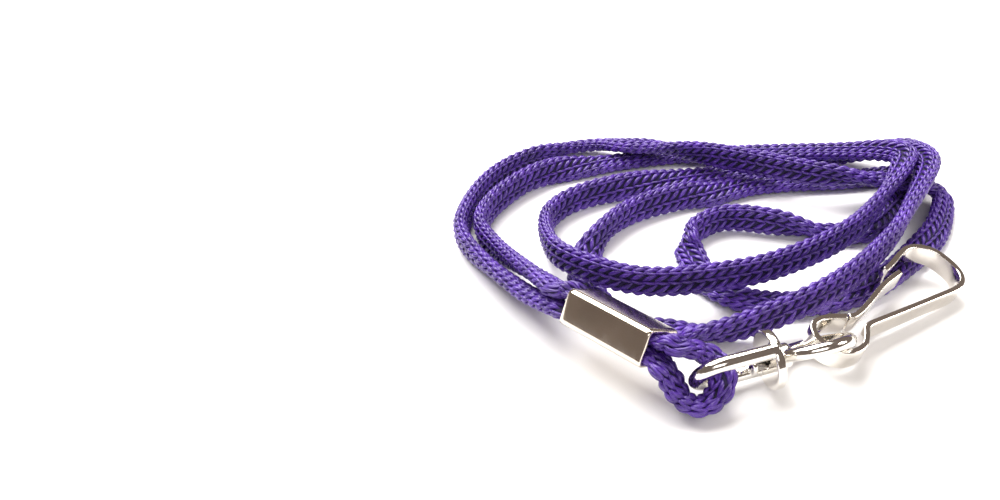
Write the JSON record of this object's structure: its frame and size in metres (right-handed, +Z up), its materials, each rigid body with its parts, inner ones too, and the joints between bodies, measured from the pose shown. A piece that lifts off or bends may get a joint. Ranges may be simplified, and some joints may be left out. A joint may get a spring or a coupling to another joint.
{
  "type": "lanyard badge holder",
  "caption": "Lanyard badge holder: a flat knitted neck cord closed by a metal crimp, with a swivel and a spring snap hook for a badge.",
  "frame": {"origin": "middle of the whole outline, on the surface that the holder lies on", "axes": "+X along the longer side of the laid-out coil, +Y away from the hardware, +Z up"},
  "size_m": [0.0777, 0.069, 0.0096],
  "materials": {
    "cord": "knitted violet polyester with a soft sheen",
    "nickel": "bright polished nickel plate",
    "spring_strip": "bright nickel-plated spring strip, slightly brushed"
  },
  "bodies": {
    "cord": {"neck_cord": "cord", "eye_cord": "cord", "crimp_sleeve": "nickel"},
    "yoke": {"swivel_yoke": "nickel"},
    "swivel": {"swivel_rivet": "nickel", "swivel_ring": "nickel"},
    "hook": {"snap_hook": "spring_strip"},
    "gate": {"gate_tongue": "spring_strip"}
  },
  "joints": [
    {"name": "yoke_swing", "type": "hinge", "parent": "cord", "child": "yoke", "pos_m": [0.0014, -0.0309, 0.0037], "axis": [-0.1025, -0.8197, -0.5636], "range_deg": [0, 30]},
    {"name": "swivel_turn", "type": "hinge", "parent": "yoke", "child": "swivel", "pos_m": [0.0071, -0.02776, 0.0043], "axis": [0.9271, 0.3746, -0.0087], "continuous": true},
    {"name": "hook_swing", "type": "hinge", "parent": "swivel", "child": "hook", "pos_m": [0.01677, -0.02385, 0.00421], "axis": [0, 0, 1], "range_deg": [-20, 0]},
    {"name": "gate_opening", "type": "hinge", "parent": "hook", "child": "gate", "pos_m": [0.01722, -0.02027, 0.0038], "axis": [0.2336, -0.2038, 0.9507], "range_deg": [-16, 0], "stiffness_Nm_per_rad": 0.02}
  ]
}
